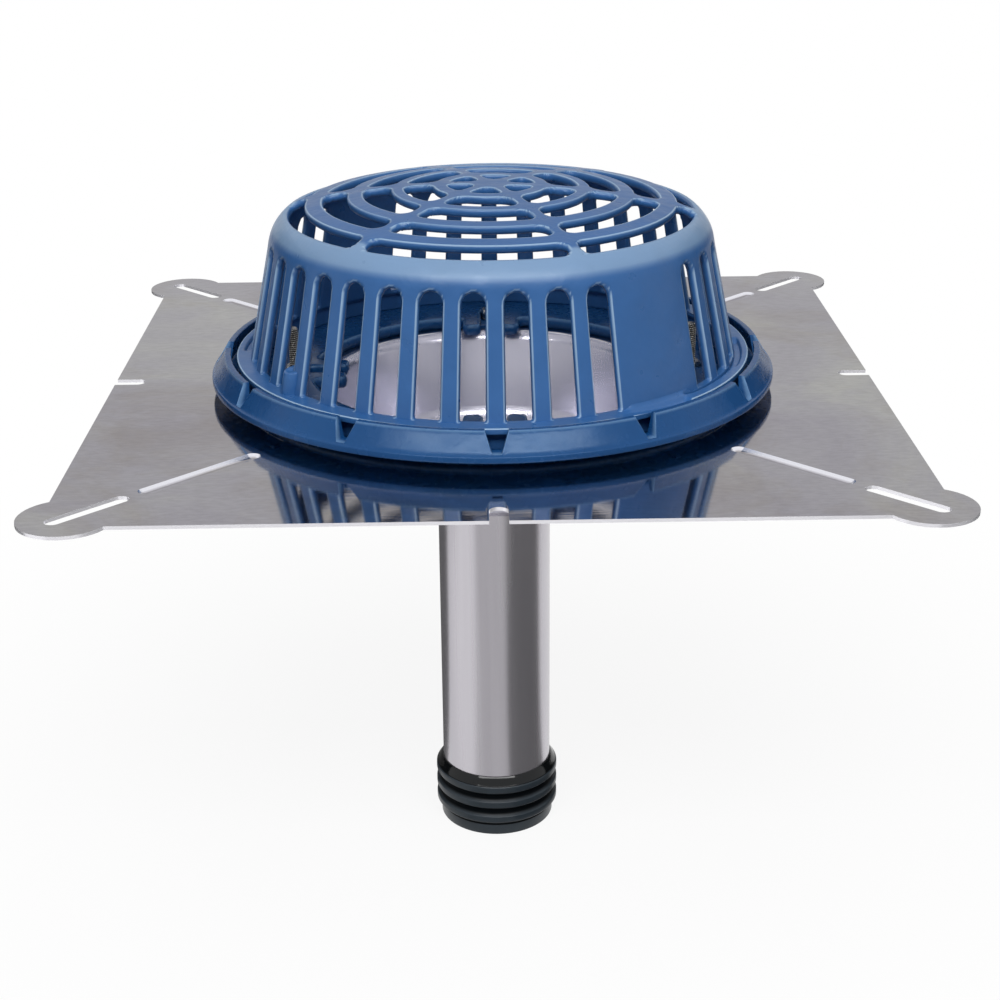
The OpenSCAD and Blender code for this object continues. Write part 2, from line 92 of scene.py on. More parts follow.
# Studio
SEAL_FOOT_Z = -298.5 * MM
FLOOR_Z = SEAL_FOOT_Z                   # the seal stands on the floor
CARD_LIFT, FAR_LIFT = 0.002, 0.003      # heights of the near and far flags above the floor
FLOOR_CARDS = [                         # bearings in degrees, radii, level and lift
    ("card_front_right", 22, 100, 0.05, 1.6, 0.17, CARD_LIFT),
    ("card_back_left", -165, -112, 0.05, 1.6, 0.15, CARD_LIFT),
    ("card_front", -40, 22, 0.05, 1.6, 0.66, CARD_LIFT),
    ("card_far_left", -150, -80, 0.72, 2.5, 0.07, FAR_LIFT),
    ("card_far_right", 80, 150, 0.72, 2.5, 0.07, FAR_LIFT),
    ("card_far_back", 150, 210, 0.72, 1.3, 0.10, FAR_LIFT)]
BACK_CARD_Y, BACK_CARD_LEVEL = 2.6, 0.62
SIDE_CARD_X, SIDE_CARD_LEVEL = 2.4, 0.05
LAMP_TARGET = (0, 0, 0.05)


# ---------------------------------------------------------------------------- mesh makers

def bearing(angle):
    """Unit vector of a bearing measured from the front (-Y) towards the right (+X)."""
    return np.stack([np.sin(angle), -np.cos(angle)], axis=-1)


def around(r, a, z):
    """Points at radius r, angle a from +X and height z: (r cos a, r sin a, z)."""
    return np.stack([r * np.cos(a), r * np.sin(a), z], axis=-1)


def linked(name, data):
    """An object of the given data, put into the scene."""
    made = bpy.data.objects.new(name, data)
    bpy.context.scene.collection.objects.link(made)
    return made


def new_piece(name, points, faces, crease=None):
    """A mesh object from points (n by 3) and faces (a list of arrays of equal-sided faces)."""
    mesh = bpy.data.meshes.new(name)
    flat = [face for group in faces for face in np.asarray(group).tolist()]
    mesh.from_pydata(np.asarray(points, float).reshape(-1, 3).tolist(), [], flat)
    mesh.validate()
    mesh.polygons.foreach_set("use_smooth", np.ones(len(mesh.polygons), bool))
    mesh.update()
    piece = linked(name, mesh)
    if crease is not None:
        bpy.context.view_layer.objects.active = piece
        piece.select_set(True)
        bpy.ops.object.shade_smooth_by_angle(angle=math.radians(crease))
        piece.select_set(False)
    return piece


def mark_rim(piece, values):
    """Stores the attribute "rim" on each point. On painted pieces 1 paints the paint pale: on a
    sharp edge a painted highlight, partly standing for paint thinned there, and round the dome's
    shoulder a painted highlight; on studs it is a thread's root, painted dark as shade, and on
    the seal it marks zones."""
    layer = piece.data.attributes.new("rim", "FLOAT", "POINT")
    layer.data.foreach_set("value", np.asarray(values, np.float32).ravel())


def grid_faces(rows, cols, wrap_rows=False, wrap_cols=True):
    """Quads of a grid whose points are numbered row by row."""
    r = np.arange(rows if wrap_rows else rows - 1)
    c = np.arange(cols if wrap_cols else cols - 1)
    r, c = np.meshgrid(r, c, indexing="ij")
    r2, c2 = (r + 1) % rows, (c + 1) % cols
    quads = np.stack([r * cols + c, r * cols + c2, r2 * cols + c2, r2 * cols + c], axis=-1)
    return quads.reshape(-1, 4)


def capped(rows, cols):
    """Faces of a stack of closed rings of points, with its first and last rings filled."""
    last = rows * cols
    return [grid_faces(rows, cols), [list(range(cols))[::-1]], [list(range(last - cols, last))]]


def revolved(name, profile, segments, crease=None, heights=None):
    """A closed profile of (radius, height) points, run anticlockwise, turned about Z:
    point = (r cos a, r sin a, z). segments is a number of steps or the angles themselves.
    heights, if given, changes z as a function of (r, z, a)."""
    profile = np.asarray(profile, float)
    angles = np.linspace(0, 2 * np.pi, segments, endpoint=False) if np.isscalar(segments) \
        else np.asarray(segments)
    r, a = np.meshgrid(profile[:, 0], angles, indexing="ij")
    z = np.repeat(profile[:, 1:2], len(angles), axis=1)
    if heights is not None:
        z = heights(r, z, a)
    faces = grid_faces(len(profile), len(angles), wrap_rows=True)
    return new_piece(name, around(r, a, z), [faces], crease=crease)


def arc_points(centre, radius, start, end, count):
    """Points of an arc: centre + radius (cos t, sin t), t from start to end in degrees."""
    t = np.radians(np.linspace(start, end, count))
    return np.stack([centre[0] + radius * np.cos(t), centre[1] + radius * np.sin(t)], axis=-1)


def pierced_shell(name, middle, normals, metal, thickness, edge, pale=0.0):
    """A curved plate with holes. middle and normals are grids of points and unit normals,
    closed in the second direction. metal is the distance to the nearest hole's edge, positive
    in the metal. Each cell is cut where metal is zero (marching squares). The plate's half
    thickness at distance d from an edge is T/2 sqrt(1 - (1 - d/edge)^2), so the two faces meet
    in a rounded edge. The outer face gets a rim value that paints it paler about a millimetre in
    from each edge, a painted edge highlight partly standing for paint thinned there; pale lifts
    that value over the outer face as a painted highlight."""
    rows, cols = metal.shape
    solid = metal > 0
    depth = np.clip(metal / edge, 0, 1)
    half = (thickness / 2 * np.sqrt(1 - (1 - depth) ** 2))[..., None] * normals
    count = int(solid.sum())
    index = np.full((rows, cols), -1)
    index[solid] = np.arange(count)
    outer, inner = (middle + half)[solid], (middle - half)[solid]
    points = [outer, inner]
    total = 2 * count
    after = np.roll(metal, -1, axis=1)

    def crossings(a, b, pa, pb):
        """Points where metal is zero along grid edges, by straight interpolation."""
        nonlocal total
        cut = (a > 0) != (b > 0)
        t = (a[cut] / (a[cut] - b[cut]))[:, None]
        points.append(pa[cut] * (1 - t) + pb[cut] * t)
        numbers = np.full(a.shape, -1)
        numbers[cut] = total + np.arange(cut.sum())
        total += int(cut.sum())
        return numbers

    def cells(grid):
        """The grid's values at the four corners of every cell, in turn."""
        beside = np.roll(grid, -1, axis=1)
        return [grid[:-1], beside[:-1], beside[1:], grid[1:]]

    up = crossings(metal[:-1], metal[1:], middle[:-1], middle[1:])
    side = crossings(metal, after, middle, np.roll(middle, -1, axis=1))
    corner, state = cells(index), cells(solid)
    edges = [side[:-1], np.roll(up, -1, axis=1), side[1:], up]
    code = sum(s.astype(int) << k for k, s in enumerate(state))
    faces = []
    for case in range(1, 16):
        here = code == case
        if not here.any():
            continue
        outside, inside = [], []
        for k in range(4):
            if case >> k & 1:
                outside.append(corner[k][here])
                inside.append(corner[k][here] + count)
            if (case >> k & 1) != (case >> (k + 1) % 4 & 1):
                outside.append(edges[k][here])
                inside.append(edges[k][here])
        faces.append(np.stack(outside, axis=-1))
        faces.append(np.stack(inside[::-1], axis=-1))
    piece = new_piece(name, np.concatenate(points), faces)
    # A pale line about a millimetre in from each edge of the outer face: a painted edge
    # highlight, partly standing for paint thinned on the edge. pale raises it further as a
    # painted highlight.
    near = np.clip(1 - np.abs(metal - 1.0 * MM) / (1.0 * MM), 0, 1)
    near = np.maximum(near, pale)[solid]
    mark_rim(piece, np.concatenate([near, np.zeros(total - count)]))
    return piece


def merged(piece):
    """Closes seams and poles by merging points that lie on each other, and turns faces out."""
    work = bmesh.new()
    work.from_mesh(piece.data)
    bmesh.ops.remove_doubles(work, verts=work.verts, dist=MERGE_DISTANCE)
    bmesh.ops.dissolve_degenerate(work, edges=work.edges, dist=MERGE_DISTANCE)
    bmesh.ops.recalc_face_normals(work, faces=work.faces)
    work.to_mesh(piece.data)
    work.free()
    return piece


def slab(name, outline, low, high, edge):
    """An outline in plan, run anticlockwise, between two heights, with edges rounded by
    quarter circles: each ring of points is the outline moved inwards along its normal."""
    outline = np.asarray(outline, float)
    ahead, behind = np.roll(outline, -1, axis=0), np.roll(outline, 1, axis=0)
    along = ahead - behind
    inward = np.stack([-along[:, 1], along[:, 0]], axis=-1)
    inward /= np.linalg.norm(inward, axis=1, keepdims=True)
    turn = np.radians([0, 22.5, 45, 67.5, 90])
    inset = np.concatenate([edge * (1 - np.sin(turn)), edge * (1 - np.cos(turn))])
    level = np.concatenate([low + edge * (1 - np.cos(turn)), high - edge * (1 - np.sin(turn))])
    rings = [np.column_stack([outline + inward * i, np.full(len(outline), z)])
             for i, z in zip(inset, level)]
    return new_piece(name, np.concatenate(rings), capped(len(rings), len(outline)), crease=40)


def joined(name, pieces):
    """One object from several that share a finish."""
    for other in bpy.context.selected_objects:
        other.select_set(False)
    for piece in pieces:
        piece.select_set(True)
    bpy.context.view_layer.objects.active = pieces[0]
    bpy.ops.object.join()
    pieces[0].name = name
    pieces[0].data.name = name
    pieces[0].select_set(False)
    return pieces[0]


def placed(piece, angle, shift=(0, 0, 0)):
    """Turns a piece's mesh about Z by angle after moving it by shift."""
    piece.data.transform(Matrix.Rotation(angle, 4, "Z") @ Matrix.Translation(Vector(shift)))
    return piece


# ------------------------------------------------------------------------------ materials

def material(name, base, metallic=0.0, roughness=0.5, specular=0.5):
    """A principled material and its node tree."""
    made = bpy.data.materials.new(name)
    made.use_nodes = True
    shader = made.node_tree.nodes[SHADER]
    shader.inputs["Base Color"].default_value = (*base, 1)
    shader.inputs["Metallic"].default_value = metallic
    shader.inputs["Roughness"].default_value = roughness
    shader.inputs["Specular IOR Level"].default_value = specular
    return made, made.node_tree


def add(tree, kind, **values):
    """A node with the given properties and socket values."""
    node = tree.nodes.new(kind)
    for key, value in values.items():
        if hasattr(node, key) and not key[0].isupper():
            setattr(node, key, value)
        else:
            node.inputs[key.replace("_", " ")].default_value = value
    return node


def connect(tree, **outputs):
    """Links outputs to the sockets of the principled shader that they are named after."""
    for key, output in outputs.items():
        tree.links.new(output, tree.nodes[SHADER].inputs[key.replace("_", " ")])


def remap(tree, value, low, high, at_low, at_high, kind="SMOOTHSTEP"):
    """at_low where value is at or below low, at_high at or above high, and a smooth or a
    straight way between them."""
    node = add(tree, "ShaderNodeMapRange", interpolation_type=kind, From_Min=low, From_Max=high,
               To_Min=at_low, To_Max=at_high)
    tree.links.new(value, node.inputs["Value"])
    return node.outputs["Result"]


def ramp(tree, factor, stops):
    """A colour ramp over factor with stops of (position, colour)."""
    node = tree.nodes.new("ShaderNodeValToRGB")
    while len(node.color_ramp.elements) < len(stops):
        node.color_ramp.elements.new(0.5)
    for element, (position, colour) in zip(node.color_ramp.elements, stops):
        element.position = position
        element.color = (*colour, 1) if len(colour) == 3 else colour
    tree.links.new(factor, node.inputs["Fac"])
    return node.outputs["Color"]


def grey(value):
    """A grey colour."""
    return (value, value, value)


def noise(tree, coordinates, scale, detail=3.0, roughness=0.5, stretch=None, distortion=0.0):
    """Noise over object coordinates, which a mapping may stretch."""
    source = coordinates
    if stretch is not None:
        mapping = tree.nodes.new("ShaderNodeMapping")
        mapping.inputs["Scale"].default_value = stretch
        tree.links.new(coordinates, mapping.inputs["Vector"])
        source = mapping.outputs["Vector"]
    node = add(tree, "ShaderNodeTexNoise", Scale=scale, Detail=detail, Roughness=roughness,
               Distortion=distortion)
    tree.links.new(source, node.inputs["Vector"])
    return node.outputs["Fac"]


def bump(tree, height, strength, distance, under=None):
    """The normal of a surface roughened by height, on top of the normal under."""
    node = add(tree, "ShaderNodeBump", Strength=strength, Distance=distance)
    tree.links.new(height, node.inputs["Height"])
    if under is not None:
        tree.links.new(under, node.inputs["Normal"])
    return node.outputs["Normal"]


def rim_value(tree):
    """The attribute that mark_rim stores."""
    return add(tree, "ShaderNodeAttribute", attribute_name="rim").outputs["Fac"]


def object_coordinates(tree):
    """Where a point lies in its object's own frame."""
    return tree.nodes.new("ShaderNodeTexCoord").outputs["Object"]


def multiply(tree, first, second):
    """The product of two colours."""
    mix = add(tree, "ShaderNodeMix", data_type="RGBA", blend_type="MULTIPLY")
    mix.inputs["Factor"].default_value = 1.0
    tree.links.new(first, mix.inputs["A"])
    tree.links.new(second, mix.inputs["B"])
    return mix.outputs["Result"]


def blend_colour(tree, factor, first, second):
    """first where factor is 0, the fixed colour second where it is 1."""
    mix = add(tree, "ShaderNodeMix", data_type="RGBA")
    tree.links.new(factor, mix.inputs["Factor"])
    tree.links.new(first, mix.inputs["A"])
    mix.inputs["B"].default_value = (*second, 1)
    return mix.outputs["Result"]


def inside_radius(tree, coordinates, full, none):
    """1 within the radius full of the Z axis, falling smoothly to 0 at the radius none."""
    flat = add(tree, "ShaderNodeVectorMath", operation="MULTIPLY")
    flat.inputs[1].default_value = (1, 1, 0)
    tree.links.new(coordinates, flat.inputs[0])
    length = add(tree, "ShaderNodeVectorMath", operation="LENGTH")
    tree.links.new(flat.outputs["Vector"], length.inputs[0])
    return remap(tree, length.outputs["Value"], full, none, 1.0, 0.0)


def facing(tree, tilted, level):
    """1 where the surface's normal leans so far that its upright share is below tilted, and 0
    where that share is above level."""
    shape = tree.nodes.new("ShaderNodeNewGeometry")
    parts = tree.nodes.new("ShaderNodeSeparateXYZ")
    tree.links.new(shape.outputs["Normal"], parts.inputs[0])
    share = add(tree, "ShaderNodeMath", operation="ABSOLUTE")
    tree.links.new(parts.outputs["Z"], share.inputs[0])
    return remap(tree, share.outputs[0], tilted, level, 1.0, 0.0)


def sheet_steel():
    """Mill-finish stainless sheet: cloudy patches between cool and warm grey, fine rolling
    lines along X and faint rubs. Cut edges and the flanks of the grooves are painted brighter, a
    painted highlight, and the drawn sump is a pale satin."""
    made, tree = material("stainless_sheet", (0.55, 0.55, 0.56), metallic=1.0, roughness=0.14)
    where = object_coordinates(tree)
    clouds = noise(tree, where, 7.0, 5.0, 0.62, distortion=0.9)
    stains = noise(tree, where, 9.0, 5.0, 0.65, distortion=0.8)
    lines = noise(tree, where, 40.0, 3.0, 0.6, stretch=(0.6, 14.0, 14.0))
    grain = noise(tree, where, 420.0, 3.0, 0.6, stretch=(0.35, 1.0, 1.0))
    tint = ramp(tree, clouds, [(0.32, (0.440, 0.420, 0.475)), (0.50, (0.500, 0.487, 0.525)),
                               (0.70, (0.590, 0.585, 0.565))])
    tone_marks = ramp(tree, stains, [(0.30, (0.86, 0.82, 0.74)), (0.52, grey(1.0))])
    fine = ramp(tree, grain, [(0.35, grey(0.90)), (0.62, grey(1.0))])
    sheet = multiply(tree, multiply(tree, tint, tone_marks), fine)
    inside = inside_radius(tree, where, 101 * MM, 106.5 * MM)
    # Painted highlight: leaning faces, the groove flanks, and upright faces, the cut edges, are
    # given paler colours.
    flank, upright = facing(tree, 0.86, 0.97), facing(tree, 0.3, 0.5)
    highlighted_sheet = blend_colour(tree, flank, sheet, (0.78, 0.78, 0.84))
    highlighted_sheet = blend_colour(tree, upright, highlighted_sheet, (0.92, 0.91, 0.96))
    colour = blend_colour(tree, inside, highlighted_sheet, (0.70, 0.69, 0.79))
    rough = ramp(tree, clouds, [(0.3, grey(0.05)), (0.75, grey(0.09))])
    rough = blend_colour(tree, flank, rough, grey(0.22))
    solid = ramp(tree, upright, [(0.0, grey(1.0)), (1.0, grey(0.55))])
    connect(tree, Base_Color=colour, Roughness=blend_colour(tree, inside, rough, grey(0.27)),
            Metallic=blend_colour(tree, inside, solid, grey(0.85)),
            Normal=bump(tree, lines, 0.05, 0.0003))
    return made


def satin_tube():
    """Satin tube: fine lines round the tube that draw reflections out along it, and faint long
    streaks."""
    made, tree = material("satin_tube", (0.52, 0.50, 0.53), metallic=1.0, roughness=0.2)
    where = object_coordinates(tree)
    streaks = noise(tree, where, 60.0, 3.0, 0.55, stretch=(1.0, 1.0, 0.03))
    rings = noise(tree, where, 50.0, 3.0, 0.6, stretch=(0.1, 0.1, 16.0))
    tint = ramp(tree, streaks, [(0.3, (0.52, 0.50, 0.54)), (0.7, (0.61, 0.59, 0.63))])
    connect(tree, Base_Color=tint, Normal=bump(tree, rings, 0.18, 0.0004),
            Roughness=ramp(tree, streaks, [(0.3, grey(0.23)), (0.7, grey(0.31))]))
    return made


def epoxy(name, deep, light, edge, roughness, gloss, tint, texture):
    """Epoxy paint over cast iron: a shallow skin texture from the casting, slight colour drift,
    uneven gloss, and the pale colour edge where the attribute "rim" is high: a painted highlight
    on sharp edges, partly standing for paint thinned there, and a painted highlight round the
    dome's shoulder."""
    made, tree = material(name, deep, roughness=roughness, specular=gloss)
    tree.nodes[SHADER].inputs["Specular Tint"].default_value = (*tint, 1)
    where = object_coordinates(tree)
    drift = noise(tree, where, 22.0, 4.0, 0.6)
    skin = noise(tree, where, 420.0, 2.0, 0.5)
    waves = noise(tree, where, 90.0, 2.0, 0.5)
    # Painted highlight: where "rim" is high the paint is blended towards the pale edge colour.
    tone_marks = remap(tree, rim_value(tree), 0.25, 1.0, 0.0, 0.75)
    paint = ramp(tree, drift, [(0.3, deep), (0.7, light)])
    fine = bump(tree, skin, texture, 0.0003)
    connect(tree, Base_Color=blend_colour(tree, tone_marks, paint, edge),
            Roughness=ramp(tree, waves, [(0.3, grey(roughness * 0.85)),
                                         (0.7, grey(roughness * 1.2))]),
            Normal=bump(tree, waves, texture * 1.6, 0.0008, under=fine))
    return made


def seal_rubber():
    """Moulded rubber with a waxy bloom. The attribute "rim" is 0 on the fins and the collar,
    a half in the grooves between them, which are painted black and dull as painted shade, and 1
    on the glossy neck, which is darkened nearly as much."""
    made, tree = material("seal_rubber", (0.018, 0.027, 0.036), roughness=0.3, specular=0.3)
    where = object_coordinates(tree)
    zone = rim_value(tree)
    bloom = noise(tree, where, 45.0, 4.0, 0.6)
    grain = noise(tree, where, 600.0, 2.0, 0.5)
    skin = ramp(tree, bloom, [(0.35, (0.016, 0.025, 0.034)), (0.7, (0.026, 0.038, 0.050))])
    # Painted shade: the grooves are darkened to a tenth, and the neck nearly as much.
    shade = ramp(tree, zone, [(0.0, grey(1.0)), (0.4, grey(0.10)), (1.0, grey(0.12))])
    rough = ramp(tree, zone, [(0.0, grey(0.34)), (0.5, grey(0.5)), (1.0, grey(0.10))])
    gloss = ramp(tree, zone, [(0.0, grey(0.32)), (0.5, grey(0.02)), (1.0, grey(0.30))])
    connect(tree, Base_Color=multiply(tree, skin, shade), Roughness=rough,
            Specular_IOR_Level=gloss, Normal=bump(tree, grain, 0.15, 0.0002))
    return made


def zinc_steel(name, base, roughness):
    """Small steel parts with a faint mottle, and painted shade that darkens them where the
    attribute "rim" marks a thread's root."""
    made, tree = material(name, base, metallic=1.0, roughness=roughness)
    where = object_coordinates(tree)
    mottle = noise(tree, where, 300.0, 3.0, 0.6)
    dark = tuple(0.78 * c for c in base)
    # Painted shade in the thread's roots.
    shade = ramp(tree, rim_value(tree), [(0.25, grey(1.0)), (0.7, grey(0.10))])
    steel = ramp(tree, mottle, [(0.3, dark), (0.7, base)])
    connect(tree, Base_Color=multiply(tree, steel, shade),
            Normal=bump(tree, mottle, 0.1, 0.0002))
    return made


STEEL = sheet_steel()
TUBE = satin_tube()
RING_PAINT = epoxy("ring_epoxy", (0.006, 0.046, 0.150), (0.008, 0.058, 0.180),
                   (0.12, 0.23, 0.40), 0.26, 0.32, (0.6, 0.8, 1.0), 0.22)
DOME_PAINT = epoxy("dome_epoxy", (0.022, 0.090, 0.250), (0.030, 0.108, 0.290),
                   (0.34, 0.48, 0.62), 0.32, 0.38, (0.8, 0.9, 1.0), 0.32)
RUBBER = seal_rubber()
STUD_STEEL = zinc_steel("stud_steel", (0.36, 0.35, 0.33), 0.24)
NUT_STEEL = zinc_steel("nut_steel", (0.60, 0.59, 0.57), 0.25)


def finish(piece, body, paint, slot, *replaced):
    """Gives a piece its material and its body. slot is not used."""
    piece.data.materials.clear()
    piece.data.materials.append(paint)
    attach(piece, body)
    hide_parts(*replaced)


for node, paint in {"deck_flange": STEEL, "outlet_tube": TUBE, "outlet_weld": TUBE,
                    "stud_welds": NUT_STEEL}.items():
    nodes[node].data.materials.clear()
    nodes[node].data.materials.append(paint)


# --------------------------------------------------------------------------- dome strainer

def dome_line():
    """The dome's outer line as rows of (radius, height, normal): up the leaning wall, round the
    shoulder's arc and over the crown's large arc to the axis."""
    lean = math.tan(DOME_LEAN)
    low = DOME_TOP_Z - CROWN_R
    reach = CROWN_R - SHOULDER_R
    a = DOME_FOOT_R + DOME_FOOT_Z * lean - SHOULDER_R / math.cos(DOME_LEAN)
    b = 1 + lean * lean
    h = a * lean + low
    k = a * a + low * low - reach * reach
    cz = (h + math.sqrt(h * h - b * k)) / b
    cr = a - lean * cz
    crown_edge = math.atan2(cz - low, cr)
    wall_end = cz + SHOULDER_R * math.sin(DOME_LEAN)
    start = DOME_FOOT_Z - 2.5 * MM
    z = np.concatenate([[start, start + 0.8 * MM, DOME_FOOT_Z],
                        DOME_FOOT_Z + np.array([0.5, 1.0, 1.6, 2.4]) * MM,
                        np.linspace(DOME_FOOT_Z + 4.5 * MM, wall_end, 30)])
    wall = np.stack([DOME_FOOT_R - (z - DOME_FOOT_Z) * lean, z,
                     np.full(len(z), math.cos(DOME_LEAN)), np.full(len(z), math.sin(DOME_LEAN))],
                    axis=-1)
    t = np.linspace(DOME_LEAN, crown_edge, 22)[1:]
    shoulder = np.stack([cr + SHOULDER_R * np.cos(t), cz + SHOULDER_R * np.sin(t),
                         np.cos(t), np.sin(t)], axis=-1)
    edges = np.array(BAR_EDGES) * MM
    near = np.array([-2.0, -1.0, -0.4, 0.0, 0.4, 1.0, 2.0]) * MM
    radii = np.concatenate([(edges[:, None] + near).ravel(), np.arange(0, 112, 2.6) * MM])
    radii = np.sort(radii[radii < shoulder[-1, 0] - 0.6 * MM])
    keep = [0]
    for i in range(1, len(radii)):
        if radii[i] - radii[keep[-1]] > 0.38 * MM:
            keep.append(i)
    radii = radii[keep][::-1]
    s = radii / CROWN_R
    crown = np.stack([radii, low + CROWN_R * np.sqrt(1 - s * s), s, np.sqrt(1 - s * s)], axis=-1)
    return np.concatenate([wall, shoulder, crown])


def nearest(angle, first, step):
    """Signed angle to the nearest of the bearings first + k step."""
    return (angle - first + step / 2) % step - step / 2


def rounded_gap(across, along, corner):
    """Distance outside a corner-rounded region from its distances across and along."""
    x, y = across + corner, along + corner
    return np.hypot(np.maximum(x, 0), np.maximum(y, 0)) + np.minimum(np.maximum(x, y), 0) - corner


def dome_metal(line, angle):
    """Distance to the nearest opening over the grid of rows (line) and bearings (angle)."""
    step = np.hypot(np.diff(line[:, 0]), np.diff(line[:, 1]))
    run = np.concatenate([[0], np.cumsum(step)])[:, None]
    radius = line[:, 0][:, None]
    place = 2 * np.pi / WINDOWS
    off = np.abs(nearest(angle, place / 2, place))[None, :]
    top_run = np.interp(WINDOW_TOP_Z, line[:50, 1], run[:50, 0])
    top_r = np.interp(WINDOW_TOP_Z, line[:50, 1], line[:50, 0])
    top_half = top_r * WINDOW_HALF
    foot_run = np.interp(DOME_FOOT_Z + 0.5 * MM, line[:50, 1], run[:50, 0])
    lateral = radius * (off - WINDOW_HALF)
    centre = top_run - top_half
    straight = rounded_gap(lateral, foot_run - run, 1.2 * MM)
    arched = np.hypot(radius * off, run - centre) - top_half
    window = np.where(run > centre, arched, straight)
    closed = np.abs(nearest(angle, CLOSED_AT, np.pi)) < place
    window = np.where(closed[None, :], 1.0, window)
    metal = np.minimum(window, 1.0)
    spoke = np.abs(nearest(angle, SPOKE_AT, 2 * np.pi / SPOKES))[None, :]
    beside = SPOKE_W / 2 - radius * np.sin(spoke)
    crown = line[:, 1][:, None] > WINDOW_TOP_Z + 6 * MM
    for inner, outer in zip(BAR_EDGES[::2], BAR_EDGES[1::2]):
        inner, outer = inner * MM, outer * MM
        corner = min(6.0 * MM, (outer - inner) / 2 - 0.6 * MM)
        if inner < 20 * MM:
            corner = 3.4 * MM
        across = np.abs(radius - (inner + outer) / 2) - (outer - inner) / 2
        gap = rounded_gap(across, beside, corner)
        metal = np.minimum(metal, np.where(crown, gap, 1.0))
    metal[0, :] = -0.1 * MM
    return metal


def make_dome_shell():
    """The wall, shoulder and crown: dome_line turned about Z, half a wall's thickness in, and
    cut where dome_metal is zero. The paint round the shoulder is painted paler, a painted
    highlight."""
    line = dome_line()
    place = 2 * np.pi / WINDOWS
    steps = np.radians([-5, -4.3, -3.7, -3.25, -2.8, -2.2, -1.35, -0.45, 0.45, 1.35, 2.2, 2.8,
                        3.25, 3.7, 4.3])
    angle = (place / 2 + np.arange(WINDOWS)[:, None] * place + steps[None, :]).ravel()
    metal = dome_metal(line, angle)
    flat = bearing(angle)
    normal = np.concatenate([line[:, None, 2:3] * flat[None], np.repeat(
        line[:, None, 3:4], len(angle), axis=1)], axis=-1)
    place_3d = np.concatenate([line[:, None, 0:1] * flat[None], np.repeat(
        line[:, None, 1:2], len(angle), axis=1)], axis=-1)
    middle = place_3d - normal * DOME_WALL / 2
    lean = line[:, 3:4]
    # Painted highlight: a paler band over the shoulder, where the surface leans between flat and
    # upright.
    shoulder_highlight = np.clip((lean - 0.22) / 0.3, 0, 1) * np.clip((0.99 - lean) / 0.08, 0, 1)
    return merged(pierced_shell("dome_shell", middle, normal, metal, DOME_WALL, 1.3 * MM,
                                pale=0.66 * shoulder_highlight))


def step_between(x, low, high, soft):
    """1 between low and high, falling to 0 over a width of soft at each end."""
    return np.clip((x - low) / soft + 0.5, 0, 1) * np.clip((high - x) / soft + 0.5, 0, 1)


def flange_heights(r, z, a):
    """Shapes the flange's upper face round each closed panel, twice in a turn. Under the panel
    a fillet rises to the wall: R - sqrt(R^2 - (R - x)^2) at x from the wall. Beside it come a
    ramp that falls towards the rim and ends in a step, a slit, and a scoop for a finger."""
    side = (np.degrees(a) + 90) % 180
    upper = z > DOME_FOOT_Z - 0.6 * MM
    r = r / MM
    ramp_down = np.clip((side - 24) / 21, 0, 1) * step_between(side, 20, 45, 0.5)
    pocket = ramp_down * np.clip((r - 147.4) / 2.2, 0, 1)
    slit = step_between(side, 46, 72, 0.6) * step_between(r, 145.7, 146.7, 0.3)
    scoop = step_between(side, 71, 92, 2.0) * step_between(r, 142.0, 149.0, 1.0)
    drop = np.maximum.reduce([2.2 * pocket, 2.8 * slit, 2.8 * scoop])
    away = np.clip(5.0 - (r - 144.8), 0, 5.0)
    fillet = 5.0 - np.sqrt(25.0 - away ** 2)
    fillet = np.where(r > 144.0, fillet, 0) * step_between(side, 29.5, 48, 2.0)
    return np.where(upper, z + (0.8 * fillet - drop) * MM, z)


def make_dome_flange():
    """The flange: a flat ring with a crisp rim, turned about Z."""
    top, under, rim = DOME_FOOT_Z, DOME_FOOT_Z - DOME_FLANGE_T, DOME_FLANGE_R
    edge = 0.6 * MM
    radii = np.array([152.2, 151.2, 150.2, 149.3, 148.6, 148.0, 147.4, 146.8, 146.5, 146.1,
                      145.7, 145.4, 145.0, 142.6, 142.2, 141.2]) * MM
    profile = np.concatenate([
        [[141.0 * MM, under + 0.4 * MM], [141.4 * MM, under], [151.0 * MM, under]],
        arc_points((rim - edge, under + edge), edge, -90, 0, 4),
        arc_points((rim - edge, top - edge), edge, 0, 90, 5),
        np.stack([radii, np.full(len(radii), top)], axis=-1)])
    angles = np.radians(np.arange(0, 360, 0.5))
    flange = revolved("dome_flange", profile, angles, crease=40, heights=flange_heights)
    # The rim's top outer edge is painted paler: a painted edge highlight.
    sharp = np.zeros((len(profile), len(angles)))
    sharp[8:12] = 1.0
    mark_rim(flange, sharp)
    return flange


def make_dome_skirt():
    """The hidden skirt below the flange, with its bottom edges eased."""
    low, high = RING_TOP_Z, DOME_FOOT_Z - DOME_FLANGE_T + 0.5 * MM
    inner = SKIRT_R - 4 * MM
    edge = 0.8 * MM
    profile = np.concatenate([
        arc_points((inner + edge, low + edge), edge, 180, 270, 4),
        arc_points((SKIRT_R - edge, low + edge), edge, 270, 360, 4),
        [[SKIRT_R, high], [inner, high]]])
    return revolved("dome_skirt", profile, 256, crease=40)


def arc_outline(inner, outer, half, count=14):
    """Plan outline of a block between two radii, half an angle to each side of +X."""
    t = np.linspace(-half, half, count)
    out = np.stack([outer * np.cos(t), outer * np.sin(t)], axis=-1)
    back = np.stack([inner * np.cos(t[::-1]), inner * np.sin(t[::-1])], axis=-1)
    return np.concatenate([out, back])


def make_tabs():
    """The four hidden tabs on the skirt that turn under the ring's hooks."""
    tabs = []
    for k in range(HOOKS):
        outline = arc_outline(SKIRT_R - 1 * MM, 153.6 * MM, math.radians(5.3))
        tab = slab(f"tab_{k}", outline, RING_TOP_Z + 0.4 * MM, SHEET + 13.5 * MM, 0.7 * MM)
        tabs.append(placed(tab, math.radians(HOOK_AT + 90 * k)))
    return joined("dome_tabs", tabs)


